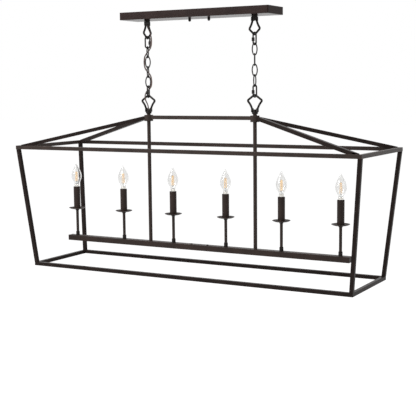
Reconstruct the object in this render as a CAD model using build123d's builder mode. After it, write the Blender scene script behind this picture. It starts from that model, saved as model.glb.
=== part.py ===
"""Linear island pendant: a tapered open cage of square tube hung from two chains.

Millimetres, +Z up, +X along the length, -Y to the front. The origin is the centre
of the plane that meets the ceiling, so the whole object hangs below z = 0.
"""
import os
from math import acos, atan2, cos, degrees, hypot, radians, sin, tan

from build123d import *

os.makedirs("parts", exist_ok=True)

# ---------------------------------------------------------------- driving sizes
fit_gap = 0.05                 # a pipe or screw in the hole that it is fixed in
run_gap = 0.1                  # a nut on the thread that it turns or slides on
link_gap = 0.4                 # between two links that hang in each other
loop_gap = 0.6                 # between a loop and the link that hangs in it
weld_gap = 0.1                 # the hairline between two bars welded end to end
edge_break = 0.5               # the small chamfer on hexagons and turned pieces

# canopy and the strap that carries it
canopy_length = 533.0
canopy_width = 108.0
canopy_height = 24.0
canopy_wall = 1.2
canopy_corner = 3.0
canopy_edge = 1.0
strap_length = 112.0
strap_width = 22.0
strap_thick = 2.0
box_screw_spacing = 88.9       # the slots that fit a ceiling outlet box
box_slot_width = 4.8
box_slot_length = 9.0
stud_spacing = 69.85
stud_radius = 2.0
cap_nut_radius = 4.4
cap_nut_height = 11.0
cap_nut_depth = 7.0
stud_in_nut = 6.0
ground_screw_x = -14.0
ground_screw_radius = 2.0
ground_head_radius = 4.0
ground_head_height = 2.5
connector_base_radius = 4.4
connector_tip_radius = 2.6
connector_length = 15.0
lead_radius = 0.9
lead_spread = 5.5              # from the cord's line to each connector
lead_swing = -9.0              # the leads turn aside past the cord's end
lead_reach = 30.0
lead_rise = 1.2
lead_gap = 0.4                 # from the jacket's end to its leads

# hollow bolts that hold the loops; the supply cord runs through the left pair
pipe_radius = 4.8
pipe_bore = 3.5
bolt_head_radius = 6.0
bolt_head_height = 8.5
lock_nut_flat = 15.0
lock_nut_height = 4.0
pipe_past_nut = 2.0

# chain loops
hanger_spacing = 390.0         # between the two chains, hubs and hanger rods
loop_wire = 3.3
loop_apex_radius = 6.6
loop_tip_radius = 3.9
loop_tip_half = 25.4
loop_tip_height = 13.6         # from the inside of the apex to the tips
loop_leg_height = 24.1         # from the tips to the yoke
loop_leg_bow = 2.2
yoke_width = 22.0
yoke_depth = 12.0
yoke_leg = 4.6
yoke_height = 12.0
flange_radius = 9.5
flange_height = 5.5

# chain
link_wire = 1.9                # the closed oval links
link_width = 16.4              # between the centres of the two sides
link_end_radius = 5.2          # of the wire's centre at the ends of the oval
link_inner_length = 32.4
link_count = 6
quick_wire = 2.4               # the links at both ends, which open
quick_width = 15.2
left_twist = (94, 15, 105, 15, 105, 15, 100, 0)
right_twist = (157, 80, 0, 113, 45, 141, 73, 0)
left_nut_sides = (1, -1)
right_nut_sides = (-1, -1)
quick_gap = 5.0
quick_gap_drop = 3.9           # from the link's centre down to the gap's centre
quick_nut_flat = 8.2
quick_nut_length = 11.0
quick_nut_drop = 2.8

# cage
tube = 12.0
tube_wall = 1.2
tube_corner = 0.8
top_length = 1210.0            # between tube centres
top_width = 346.0
bottom_length = 1138.0
bottom_width = 274.0
cage_height = 398.0
ridge_rise = 97.5
hub_radius = 14.4
hub_height = 20.0
hub_above_ridge = 8.0
neck_radius = 6.4
neck_height = 4.8
pipe_in_hub = 11.0             # from the neck's top
hip_start = 7.0                # from the hub's axis to where the two hip axes meet
rod_radius = 6.0
rod_wall = 1.2
rod_in_hub = 12.0

# light bar
bar_length = 1042.0
bar_shift = -8.0               # the bar hangs a little to one side
bar_width = 25.0
bar_height = 18.0
bar_wall = 1.2
bar_edge = 1.0
bar_drop = 313.5               # from the top rails' centre to the bar's top
cover_thick = 1.2
cover_gap = 0.2
cover_screw_spacing = 60.0
cover_screw_radius = 1.9
cover_screw_length = 9.0
cover_head_radius = 3.4
cover_head_height = 2.2
cover_post_radius = 3.8
rod_past_bar = 7.0
rod_nut_flat = 17.0
bar_nut_height = 4.0
harness_radius = 1.6
harness_wire = 1.1
harness_side = 8.2             # from the bar's middle to the trunk of the wiring
harness_rise = 2.6             # from the cover to the wiring's centre
harness_turn = 6.0

# candles
candle_count = 6
candle_inset = 32.5            # from the bar's end to the outer candle
stem_radius = 4.75
stem_bore = 3.4
stem_past_bar = 6.5
stem_nut_flat = 14.0
coupling_radius = 6.4
coupling_height = 13.0
dish_radius = 28.5
dish_seat_radius = 13.0
dish_rise = 4.2
dish_wall = 1.2
dish_level = 91.5              # from the bar's top to the dish's underside
dish_nut_radius = 6.6
dish_nut_height = 4.0
sleeve_radius = 11.3
sleeve_wall = 0.8
sleeve_height = 76.8
socket_radius = 9.4
socket_below_rim = 3.0
socket_height = 54.0
socket_bore = 6.3
socket_bore_depth = 22.0
stem_in_socket = 9.0

# bulbs
shell_radius = 5.9
shell_length = 15.0
shell_thread = 0.45            # depth of the thread's rounded grooves
shell_thread_pitch = 2.54
shell_thread_count = 5
contact_radius = 2.6
contact_height = 2.2
collar_radius = 7.8
collar_height = 11.7
bulb_neck_radius = 8.4
bulb_radius = 17.5
bulb_height = 70.0
bulb_belly = 27.0              # from the glass's lower end to its widest place
bulb_flare_radius = 11.4
bulb_flare = 9.0
bulb_shoulder_radius = 11.5
bulb_shoulder = 20.0           # from the tip down
bulb_tip_radius = 2.2
bulb_tip = 1.5                 # from the tip down
bulb_wall = 0.8
mount_radius = 2.2
mount_height = 9.0
mount_disc = 4.6
mount_disc_thick = 0.8
filament_radius = 0.7
filament_length = 33.0
filament_circle = 3.6
filament_count = 4
filament_post = 0.5

# ---------------------------------------------------------------- derived places
hang_x = hanger_spacing / 2
hangers = (("left", -hang_x), ("right", hang_x))
link_pitch = link_inner_length - link_gap
link_half = link_inner_length / 2 + link_wire      # a link's centre to its end wire
link_side = link_width / 2
quick_half = link_inner_length / 2 + quick_wire
quick_side = quick_width / 2
quick_straight = quick_half - quick_side
loop_to_link = loop_wire + quick_wire + loop_gap
candle_spacing = (bar_length - 2 * candle_inset) / (candle_count - 1)
loop_height = loop_tip_height + loop_leg_height + yoke_height + flange_height

canopy_floor = -canopy_height
upper_apex = canopy_floor - loop_height - loop_wire
first_link = upper_apex + loop_to_link - quick_half
link_levels = [first_link - i * link_pitch for i in range(link_count)]
lower_apex = link_levels[-1] - quick_half + loop_to_link
lower_base = lower_apex - loop_wire - loop_height
hub_top = lower_base - neck_height
hub_bottom = hub_top - hub_height
ridge_z = hub_top - hub_above_ridge
top_z = ridge_z - ridge_rise
bottom_z = top_z - cage_height
bar_top = top_z - bar_drop
bar_bottom = bar_top - bar_height
rod_top = hub_bottom + rod_in_hub
candle_xs = [bar_shift + (i - (candle_count - 1) / 2) * candle_spacing for i in range(candle_count)]
candle_places = [(x, 0) for x in candle_xs]
screw_places = [(bar_shift + side * cover_screw_spacing / 2, 0) for side in (-1, 1)]
dish_z = bar_top + dish_level
sleeve_z = dish_z + dish_wall
sleeve_top = sleeve_z + sleeve_height
socket_top = sleeve_top - socket_below_rim
socket_z = socket_top - socket_height
stem_top = socket_z + stem_in_socket
glass_z = socket_top + collar_height

# ---------------------------------------------------------------- cord routes
# Both run from the canopy through the left pair of hollow bolts and weave between
# the links. Points are (x from the left chain, y, z), chosen by hand.
cord_radius = 2.0
cord_route = [
    (44, -3.0, -13.0),
    (28, -1.5, -7.0),
    (13, -1.2, -3.2),
    (0, -1.2, -11.0),
    (0.1, -1.2, -44.0),
    (7.5, -1.2, -56.0),
    (13.5, -1.2, -70.0),
    (15.5, -1.4, -84.0),
    (14.8, -1.4, -102.0),
    (10.5, -1.2, -118.0),
    (-10.0, -1.2, -136.0),
    (-13.8, -1.4, -153.0),
    (-13.6, -1.2, -166.0),
    (-10.2, -1.2, -182.0),
    (10.0, -1.2, -200.0),
    (13.9, -1.2, -217.0),
    (13.6, -1.4, -230.0),
    (9.0, -0.2, -243.5),
    (-8.0, -0.6, -255.5),
    (-9.2, -7.4, -268.0),
    (-6.5, -8.0, -282.0),
    (-1.0, -3.0, -297.0),
    (0.1, -1.2, -309.0),
    (0, -1.2, -324.0),
]
ground_radius = 0.9
ground_route = [
    (hang_x + ground_screw_x - 4.8, 2.2, -4.6),
    (hang_x + ground_screw_x - 21.0, 9.0, -8.5),
    (126.0, 8.4, -13.5),
    (86.0, 5.6, -14.5),
    (46.0, 3.6, -11.0),
    (12.0, 2.2, -5.2),
    (0, 2.2, -13.5),
    (0.1, 2.2, -43.0),
    (6.2, 2.4, -56.0),
    (12.4, 2.6, -70.0),
    (15.4, 2.6, -86.0),
    (14.9, 2.3, -104.0),
    (10.2, 2.2, -117.0),
    (-10.2, 2.2, -135.0),
    (-13.6, 2.0, -152.0),
    (-13.9, 2.2, -166.0),
    (-10.6, 2.2, -181.0),
    (9.6, 2.2, -199.5),
    (13.8, 2.2, -216.0),
    (13.9, 2.0, -230.0),
    (9.4, 2.9, -243.0),
    (-9.2, 2.5, -256.0),
    (-12.6, -4.2, -268.0),
    (-10.0, -5.2, -283.0),
    (-3.6, 0.4, -297.0),
    (0.1, 2.2, -309.0),
    (0, 2.2, -324.0),
]


def save(part, name):
    """Label a finished piece and write it under its own name."""
    part.label = name
    export_step(part, f"parts/{name}.step")
    print(f"{name}: {len(part.solids())} solid(s), {part.volume / 1000:.2f} cm3")


def turned(level, spin, x):
    """A level plane on a hanging axis, its X turned about Z by spin degrees."""
    return Plane(
        origin=(x, 0, level),
        x_dir=(cos(radians(spin)), sin(radians(spin)), 0),
        z_dir=(0, 0, 1),
    )


def upright(level, spin, x):
    """The same plane stood up, so that its Y runs along world Z."""
    return Plane(
        origin=(x, 0, level),
        x_dir=(cos(radians(spin)), sin(radians(spin)), 0),
        z_dir=(sin(radians(spin)), -cos(radians(spin)), 0),
    )


def bend_radii(points):
    """One radius for each corner of a route, as large as its two runs allow."""
    radii = []
    for before, corner, after in zip(points, points[1:], points[2:]):
        run_in = Vector(corner) - Vector(before)
        run_out = Vector(after) - Vector(corner)
        half_turn = radians(run_in.get_angle(run_out)) / 2
        radii.append(0.45 * min(run_in.length, run_out.length) / tan(half_turn))
    return radii


# ---------------------------------------------------------------- canopy
def build_canopy():
    """Shallow pan that is open at the ceiling, with the strap that holds it."""
    with BuildPart() as canopy_pan:
        with BuildSketch(Plane.XY.offset(canopy_floor)):
            RectangleRounded(canopy_length, canopy_width, canopy_corner)
        extrude(amount=canopy_height)
        fillet(canopy_pan.faces().sort_by(Axis.Z)[0].edges(), canopy_edge)
        offset(amount=-canopy_wall, openings=canopy_pan.faces().sort_by(Axis.Z)[-1])
        with BuildSketch(Plane.XY.offset(canopy_floor)):
            with GridLocations(stud_spacing, 0, 2, 1):
                Circle(stud_radius + fit_gap)
            with GridLocations(hanger_spacing, 0, 2, 1):
                Circle(pipe_radius + fit_gap)
        extrude(amount=2 * canopy_wall, mode=Mode.SUBTRACT)
    save(canopy_pan.part, "canopy_pan")

    with BuildPart() as mounting_strap:
        with BuildSketch(Plane.XY.offset(-strap_thick)):
            RectangleRounded(strap_length, strap_width, strap_width / 4)
            with GridLocations(box_screw_spacing, 0, 2, 1):
                SlotOverall(box_slot_length, box_slot_width, mode=Mode.SUBTRACT)
            with GridLocations(stud_spacing, 0, 2, 1):
                Circle(stud_radius + fit_gap, mode=Mode.SUBTRACT)
            with Locations((ground_screw_x, 0)):
                Circle(ground_screw_radius + fit_gap, mode=Mode.SUBTRACT)
        extrude(amount=strap_thick)
    save(mounting_strap.part, "mounting_strap")

    with BuildPart() as canopy_studs:
        with BuildSketch(Plane.XY.offset(canopy_floor - stud_in_nut)):
            with GridLocations(stud_spacing, 0, 2, 1):
                Circle(stud_radius)
        extrude(amount=canopy_height + stud_in_nut)
    save(canopy_studs.part, "canopy_studs")

    with BuildPart() as ground_screw:
        with BuildSketch(Plane.XY.offset(-strap_thick - ground_head_height)):
            with Locations((ground_screw_x, 0)):
                RegularPolygon(ground_head_radius, 6)
        extrude(amount=ground_head_height)
        with BuildSketch(Plane.XY.offset(-strap_thick)):
            with Locations((ground_screw_x, 0)):
                Circle(ground_screw_radius)
        extrude(amount=strap_thick)
    save(ground_screw.part, "ground_screw")


def build_cap_nuts():
    """The two domed nuts that hold the pan up against the ceiling."""
    for name, x in (("left", -stud_spacing / 2), ("right", stud_spacing / 2)):
        with BuildPart() as cap_nut:
            with BuildSketch(Plane.XZ):
                with BuildLine():
                    dome_z = canopy_floor - cap_nut_height + cap_nut_radius
                    Line((0, canopy_floor), (cap_nut_radius, canopy_floor))
                    Line((cap_nut_radius, canopy_floor), (cap_nut_radius, dome_z))
                    RadiusArc((cap_nut_radius, dome_z), (0, dome_z - cap_nut_radius), cap_nut_radius)
                    Line((0, dome_z - cap_nut_radius), (0, canopy_floor))
                make_face()
            revolve(axis=Axis.Z)
            with BuildSketch(Plane.XY.offset(canopy_floor - cap_nut_depth)):
                Circle(stud_radius + run_gap)
            extrude(amount=cap_nut_depth, mode=Mode.SUBTRACT)
        save(cap_nut.part.moved(Location((x, 0, 0))), f"{name}_cap_nut")


def build_canopy_wiring():
    """The two leads that leave the cord's end and the connectors on them."""
    start = Vector(cord_route[0]) + Vector(lead_gap - hang_x, 0, 0)
    beside = lead_radius + run_gap
    with BuildPart() as canopy_leads:
        for side in (-1, 1):
            first = start + Vector(0, side * beside, 0)
            points = [
                first,
                first + Vector(0.3 * lead_reach, side * 0.5, -lead_rise / 2),
                first + Vector(0.67 * lead_reach, lead_swing + side * lead_spread, lead_rise),
                first + Vector(lead_reach, lead_swing + side * lead_spread, lead_rise),
            ]
            with BuildLine() as lead:
                FilletPolyline(*points, radius=bend_radii(points))
            with BuildSketch(Plane(origin=lead.line @ 0, z_dir=lead.line % 0)):
                Circle(lead_radius)
            sweep(path=lead.line)
    save(canopy_leads.part, "canopy_leads")

    with BuildPart() as wire_connectors:
        for side in (-1, 1):
            across = side * (beside + lead_spread) + lead_swing
            mouth = start + Vector(lead_reach + 2 * run_gap, across, lead_rise)
            with BuildSketch(Plane(origin=mouth, z_dir=(1, 0, 0))):
                Circle(connector_base_radius)
            tip = mouth + Vector(connector_length, 0, 0)
            with BuildSketch(Plane(origin=tip, z_dir=(1, 0, 0))):
                Circle(connector_tip_radius)
            loft()
    save(wire_connectors.part, "wire_connectors")


# ---------------------------------------------------------------- loops and their bolts
def loop_on(base):
    """A cast chain loop that stands on the base plane: flange, yoke and kite ring."""
    tip_z = loop_height - loop_tip_height
    apex_z = loop_height + loop_wire
    drop = tip_z - apex_z + loop_apex_radius
    slope = atan2(loop_tip_half, drop) - acos(loop_apex_radius / hypot(drop, loop_tip_half))
    corner_z = apex_z - loop_apex_radius + loop_apex_radius / cos(slope)
    foot_x = (yoke_width - yoke_leg) / 2
    foot_z = flange_height + yoke_height - loop_wire
    lean = Vector(loop_tip_half - foot_x, tip_z - foot_z).normalized()
    bow = Vector(foot_x + loop_tip_half, foot_z + tip_z) / 2 + Vector(-lean.Y, lean.X) * loop_leg_bow
    half_ring = [(foot_x, foot_z), (bow.X, bow.Y), (loop_tip_half, tip_z)]
    ring_points = half_ring + [(0, corner_z)] + [(-x, z) for x, z in reversed(half_ring)]
    leg_radius = bend_radii(half_ring)
    radii = leg_radius + [loop_tip_radius, loop_apex_radius, loop_tip_radius] + leg_radius
    face = Plane(origin=base.origin, x_dir=base.x_dir, z_dir=-base.y_dir)
    with BuildPart() as loop:
        with BuildSketch(base):
            Circle(flange_radius)
        extrude(amount=flange_height)
        fillet(loop.edges().filter_by(GeomType.CIRCLE), edge_break)
        with BuildSketch(base.offset(flange_height)):
            with Locations((foot_x, 0), (-foot_x, 0)):
                RectangleRounded(yoke_leg, yoke_depth, yoke_leg / 4)
        extrude(amount=yoke_height)
        with BuildLine(face) as ring:
            FilletPolyline(*ring_points, radius=radii)
        with BuildSketch(Plane(origin=ring.line @ 0, z_dir=ring.line % 0)):
            Circle(loop_wire)
        sweep(path=ring.line)
        with BuildSketch(base):
            Circle(pipe_radius + fit_gap)
        extrude(amount=flange_height, mode=Mode.SUBTRACT)
    return loop.part


def hollow_bolt(base, stem_length):
    """A hexagon-headed pipe: its head seats on a loop's flange, its stem runs below."""
    with BuildPart() as bolt:
        with BuildSketch(base.offset(flange_height)):
            RegularPolygon(bolt_head_radius, 6)
        extrude(amount=bolt_head_height)
        chamfer(bolt.faces().sort_by(SortBy.AREA)[-1].edges(), edge_break)
        with BuildSketch(base.offset(flange_height)):
            Circle(pipe_radius)
        extrude(amount=-(flange_height + stem_length))
        with BuildSketch(base.offset(-stem_length)):
            Circle(pipe_bore)
        extrude(amount=stem_length + flange_height + bolt_head_height, mode=Mode.SUBTRACT)
    return bolt.part


def build_loops():
    """Four loops, their hollow bolts, and the lock nuts inside the canopy."""
    upper_bolts = []
    lower_bolts = []
    canopy_stem = canopy_wall + lock_nut_height + pipe_past_nut
    for name, x in hangers:
        twist = left_twist if x < 0 else right_twist
        spin = radians(twist[0])
        upper = Plane(
            origin=(x, 0, canopy_floor),
            x_dir=(cos(spin), sin(spin), 0),
            z_dir=(0, 0, -1),
        )
        lower = turned(lower_base, twist[-1], x)
        save(loop_on(upper), f"upper_{name}_loop")
        save(loop_on(lower), f"lower_{name}_loop")
        upper_bolts.append(hollow_bolt(upper, canopy_stem))
        lower_bolts.append(hollow_bolt(lower, pipe_in_hub - fit_gap))

    with BuildPart() as upper_nipples:
        add(upper_bolts)
    save(upper_nipples.part, "upper_nipples")

    with BuildPart() as lower_nipples:
        add(lower_bolts)
    save(lower_nipples.part, "lower_nipples")

    with BuildPart() as upper_lock_nuts:
        with BuildSketch(Plane.XY.offset(canopy_floor + canopy_wall)):
            with GridLocations(hanger_spacing, 0, 2, 1):
                RegularPolygon(lock_nut_flat / 2, 6, major_radius=False)
                Circle(pipe_radius + fit_gap, mode=Mode.SUBTRACT)
        extrude(amount=lock_nut_height)
    save(upper_lock_nuts.part, "upper_lock_nuts")


# ---------------------------------------------------------------- chains
def quick_link(level, spin, x, side):
    """A chain link with a gap in one side, which its sleeve nut bridges."""
    rail = side * quick_side
    gap_top = -quick_gap_drop + quick_gap / 2
    gap_bottom = -quick_gap_drop - quick_gap / 2
    with BuildPart() as link:
        with BuildLine(upright(level, spin, x)) as path:
            Line((rail, gap_top), (rail, quick_straight))
            ThreePointArc((rail, quick_straight), (0, quick_half), (-rail, quick_straight))
            Line((-rail, quick_straight), (-rail, -quick_straight))
            ThreePointArc((-rail, -quick_straight), (0, -quick_half), (rail, -quick_straight))
            Line((rail, -quick_straight), (rail, gap_bottom))
        with BuildSketch(turned(level + gap_top, spin, x)):
            with Locations((rail, 0)):
                Circle(quick_wire)
        sweep(path=path.line)
    return link.part


def sleeve_nut(level, spin, x, side):
    """The hexagon sleeve that closes a quick link, at its lower stop."""
    with BuildPart() as nut:
        with BuildSketch(turned(level - quick_nut_drop - quick_nut_length / 2, spin, x)):
            with Locations((side * quick_side, 0)):
                RegularPolygon(quick_nut_flat / 2, 6, major_radius=False)
        extrude(amount=quick_nut_length)
        chamfer(nut.faces().filter_by(Axis.Z).edges(), edge_break)
        with BuildSketch(turned(level - quick_nut_drop - quick_nut_length / 2, spin, x)):
            with Locations((side * quick_side, 0)):
                Circle(quick_wire + run_gap)
        extrude(amount=quick_nut_length, mode=Mode.SUBTRACT)
    return nut.part


def oval_link(level, spin, x):
    """A closed link: two shallow side arcs that run into two tight end arcs."""
    end_z = link_half - link_end_radius
    side_radius = (link_side**2 + end_z**2 - link_end_radius**2) / (2 * (link_side - link_end_radius))
    centre_x = side_radius - link_side
    half = degrees(atan2(end_z, centre_x))
    with BuildPart() as link:
        with BuildLine(upright(level, spin, x)) as path:
            CenterArc((centre_x, 0), side_radius, 180, -half)
            CenterArc((0, end_z), link_end_radius, 180 - half, 2 * half - 180)
            CenterArc((-centre_x, 0), side_radius, half, -2 * half)
            CenterArc((0, -end_z), link_end_radius, -half, 2 * half - 180)
            CenterArc((centre_x, 0), side_radius, 180 + half, -half)
        with BuildSketch(turned(level, spin, x)):
            with Locations((-link_side, 0)):
                Circle(link_wire)
        sweep(path=path.line)
    return link.part


def build_chain(name, x, twist, nut_sides):
    """One chain: quick links at both ends and closed links between them."""
    ends = ((f"{name}_upper", 0, nut_sides[0]), (f"{name}_lower", link_count - 1, nut_sides[1]))
    for end, index, side in ends:
        level = link_levels[index]
        spin = twist[index + 1]
        save(quick_link(level, spin, x, side), f"{end}_quick_link")
        save(sleeve_nut(level, spin, x, side), f"{end}_sleeve_nut")

    middle = range(1, link_count - 1)
    ovals = [oval_link(link_levels[i], twist[i + 1], x) for i in middle]
    with BuildPart() as chain_links:
        add(ovals)
    save(chain_links.part, f"{name}_chain_links")


def build_cords():
    """The supply cord and its bare ground wire, woven through the left chain."""
    for name, route, radius in (
        ("supply_cord", cord_route, cord_radius),
        ("ground_wire", ground_route, ground_radius),
    ):
        points = [(x - hang_x, y, z) for x, y, z in route]
        radii = bend_radii(points)
        with BuildPart() as cord:
            with BuildLine() as path:
                FilletPolyline(*points, radius=radii)
            with BuildSketch(Plane(origin=path.line @ 0, z_dir=path.line % 0)):
                Circle(radius)
            sweep(path=path.line)
        save(cord.part, name)
        print(f"  {name}: {path.wires()[0].length:.0f} long, radii", [round(r, 1) for r in radii])


# ---------------------------------------------------------------- cage
def tube_frame(length, width, level):
    """Four lengths of square tube, mitred at their corners with a hairline between."""
    with BuildPart() as frame:
        with BuildSketch(Plane.XY.offset(level)):
            Rectangle(length + tube, width + tube)
            Rectangle(length - tube, width - tube, mode=Mode.SUBTRACT)
        extrude(amount=tube / 2, both=True)
        fillet(frame.faces().filter_by(Axis.Z).edges(), tube_corner)
        with BuildSketch(Plane.XY.offset(level)):
            Rectangle(length + tube - 2 * tube_wall, width + tube - 2 * tube_wall)
            Rectangle(length - tube + 2 * tube_wall, width - tube + 2 * tube_wall, mode=Mode.SUBTRACT)
        extrude(amount=tube / 2 - tube_wall, both=True, mode=Mode.SUBTRACT)
        with BuildSketch(Plane.XY.offset(level)):
            for side_x, side_y in ((1, 1), (1, -1), (-1, 1), (-1, -1)):
                with Locations((side_x * length / 2, side_y * width / 2)):
                    Rectangle(2 * tube, weld_gap, rotation=45 * side_x * side_y)
        extrude(amount=tube, both=True, mode=Mode.SUBTRACT)
    return frame.part


def build_cage():
    """The two rectangles of tube, their corner posts, the hips and the ridge."""
    save(tube_frame(top_length, top_width, top_z), "top_rails")
    save(tube_frame(bottom_length, bottom_width, bottom_z), "bottom_rails")

    post_top = top_z - tube / 2
    post_bottom = bottom_z + tube / 2
    lean = tube / 2 / cage_height
    ends = ((post_top, lean), (post_bottom, 1 - lean))
    with BuildPart() as corner_posts:
        for size, corner, mode in (
            (tube, tube_corner, Mode.ADD),
            (tube - 2 * tube_wall, tube_corner / 2, Mode.SUBTRACT),
        ):
            for side_x, side_y in ((1, 1), (1, -1), (-1, 1), (-1, -1)):
                sections = []
                for level, share in ends:
                    x = (top_length + (bottom_length - top_length) * share) / 2
                    y = (top_width + (bottom_width - top_width) * share) / 2
                    with BuildSketch(Plane.XY.offset(level)) as section:
                        with Locations((side_x * x, side_y * y)):
                            RectangleRounded(size, size, corner)
                    sections.append(section.sketch)
                loft(sections, ruled=True, mode=mode)
    save(corner_posts.part, "corner_posts")

    with BuildPart() as ridge_bar:
        with BuildSketch(Plane.YZ):
            with Locations((0, ridge_z)):
                RectangleRounded(tube, tube, tube_corner)
                Rectangle(tube - 2 * tube_wall, tube - 2 * tube_wall, mode=Mode.SUBTRACT)
        extrude(amount=hang_x, both=True)
        with BuildSketch(Plane.XY.offset(ridge_z)):
            with GridLocations(hanger_spacing, 0, 2, 1):
                Circle(hub_radius + weld_gap)
        extrude(amount=tube, both=True, mode=Mode.SUBTRACT)
    save(ridge_bar.part, "ridge_bar")

    meet = Vector(hang_x + hip_start, 0, ridge_z)
    corner = Vector(top_length / 2, top_width / 2, top_z)
    run = corner - meet
    across = Vector(-run.Y, run.X, 0).normalized()
    with BuildPart() as hip_bars:
        with BuildSketch(Plane(origin=meet - run * 0.1, x_dir=across, z_dir=run)):
            RectangleRounded(tube, tube, tube_corner)
            Rectangle(tube - 2 * tube_wall, tube - 2 * tube_wall, mode=Mode.SUBTRACT)
        extrude(amount=run.length * 1.2)
        with BuildSketch(Plane.XY.offset(top_z - 2 * tube)):
            with Locations((hang_x, weld_gap / 2)):
                Rectangle(
                    (top_length - tube) / 2 - hang_x,
                    (top_width - tube - weld_gap) / 2,
                    align=(Align.MIN, Align.MIN),
                )
                Circle(hub_radius + weld_gap, mode=Mode.SUBTRACT)
        extrude(amount=ridge_rise + 4 * tube, mode=Mode.INTERSECT)
        mirror(about=Plane.XZ)
        mirror(about=Plane.YZ)
    save(hip_bars.part, "hip_bars")


def build_hubs():
    """Turned hubs with a neck for the loop above and a socket for the rod below."""
    for name, x in hangers:
        with BuildPart() as hub:
            with BuildSketch(Plane.XY.offset(hub_bottom)):
                Circle(hub_radius)
            extrude(amount=hub_height)
            fillet(hub.edges().filter_by(GeomType.CIRCLE), edge_break)
            with BuildSketch(Plane.XY.offset(hub_top)):
                Circle(neck_radius)
            extrude(amount=neck_height)
            with BuildSketch(Plane.XY.offset(lower_base - pipe_in_hub)):
                Circle(pipe_radius + fit_gap)
            extrude(amount=pipe_in_hub, mode=Mode.SUBTRACT)
            with BuildSketch(Plane.XY.offset(hub_bottom)):
                Circle(rod_radius + fit_gap)
            extrude(amount=rod_in_hub, mode=Mode.SUBTRACT)
            with BuildSketch(Plane.XY.offset(hub_bottom)):
                Circle(pipe_bore)
            extrude(amount=hub_height, mode=Mode.SUBTRACT)
        save(hub.part.moved(Location((x, 0, 0))), f"{name}_hub")

    with BuildPart() as hanger_rods:
        with BuildSketch(Plane.XY.offset(bar_top - rod_past_bar)):
            with GridLocations(hanger_spacing, 0, 2, 1):
                Circle(rod_radius)
                Circle(rod_radius - rod_wall, mode=Mode.SUBTRACT)
        extrude(amount=rod_top - bar_top + rod_past_bar)
    save(hanger_rods.part, "hanger_rods")


# ---------------------------------------------------------------- light bar
def build_light_bar():
    """Inverted channel with closed ends, its cover, and the nuts inside it."""
    with BuildPart() as light_bar:
        with BuildSketch(Plane.XY.offset(bar_bottom)):
            with Locations((bar_shift, 0)):
                Rectangle(bar_length, bar_width)
        extrude(amount=bar_height)
        fillet(light_bar.edges().filter_by(Axis.Z), bar_edge)
        fillet(light_bar.faces().sort_by(Axis.Z)[-1].edges(), bar_edge)
        with BuildSketch(Plane.XY.offset(bar_bottom)):
            with Locations((bar_shift, 0)):
                Rectangle(bar_length - 2 * bar_wall, bar_width - 2 * bar_wall)
        extrude(amount=bar_height - bar_wall, mode=Mode.SUBTRACT)
        with BuildSketch(Plane.XY.offset(bar_top - 2 * bar_wall)):
            with GridLocations(hanger_spacing, 0, 2, 1):
                Circle(rod_radius + fit_gap)
            with Locations(*candle_places):
                Circle(stem_radius + fit_gap)
            with Locations(*screw_places):
                Circle(cover_screw_radius + fit_gap)
        extrude(amount=3 * bar_wall, mode=Mode.SUBTRACT)
    save(light_bar.part, "light_bar")

    with BuildPart() as bar_cover:
        with BuildSketch(Plane.XY.offset(bar_bottom)):
            with Locations((bar_shift, 0)):
                Rectangle(
                    bar_length - 2 * bar_wall - 2 * cover_gap,
                    bar_width - 2 * bar_wall - 2 * cover_gap,
                )
        extrude(amount=cover_thick)
        with BuildSketch(Plane.XY.offset(bar_bottom + cover_thick)):
            with Locations(*screw_places):
                Circle(cover_post_radius)
        extrude(amount=bar_height - bar_wall - cover_thick)
        with BuildSketch(Plane.XY.offset(bar_top - bar_wall)):
            with Locations(*screw_places):
                Circle(cover_screw_radius + fit_gap)
        extrude(amount=-cover_screw_length, mode=Mode.SUBTRACT)
    save(bar_cover.part, "bar_cover")

    with BuildPart() as cover_screws:
        with BuildSketch(Plane.XY.offset(bar_top)):
            with Locations(*screw_places):
                Circle(cover_head_radius)
        extrude(amount=cover_head_height)
        fillet(cover_screws.faces().sort_by(Axis.Z)[-2:].edges(), edge_break)
        with BuildSketch(Plane.XY.offset(bar_top)):
            with Locations(*screw_places):
                Circle(cover_screw_radius)
        extrude(amount=-cover_screw_length)
    save(cover_screws.part, "cover_screws")

    rod_places = [(-hang_x, 0), (hang_x, 0)]
    for name, places, flat, radius in (
        ("rod_nuts", rod_places, rod_nut_flat, rod_radius),
        ("stem_nuts", candle_places, stem_nut_flat, stem_radius),
    ):
        with BuildPart() as nuts:
            with BuildSketch(Plane.XY.offset(bar_top - bar_wall - bar_nut_height)):
                with Locations(*places):
                    RegularPolygon(flat / 2, 6, major_radius=False)
                    Circle(radius + fit_gap, mode=Mode.SUBTRACT)
            extrude(amount=bar_nut_height)
        save(nuts.part, name)


def build_harness():
    """Hidden wiring: a trunk along the bar, with a wire up the rod and each stem."""
    level = bar_bottom + cover_thick + harness_rise
    feed = lower_base - pipe_in_hub
    risers = [(x, stem_top) for x in candle_xs] + [(-hang_x, feed)]
    with BuildPart() as bar_harness:
        with BuildSketch(Plane(origin=(candle_xs[0], harness_side, level), z_dir=(1, 0, 0))):
            Circle(harness_radius)
        extrude(amount=candle_xs[-1] - candle_xs[0])
        for x, top in risers:
            with BuildLine() as path:
                FilletPolyline(
                    (x, harness_side, level),
                    (x, 0, level),
                    (x, 0, top),
                    radius=harness_turn,
                )
            with BuildSketch(Plane(origin=path.line @ 0, z_dir=path.line % 0)):
                Circle(harness_wire)
            sweep(path=path.line)
    save(bar_harness.part, "bar_harness")


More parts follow.
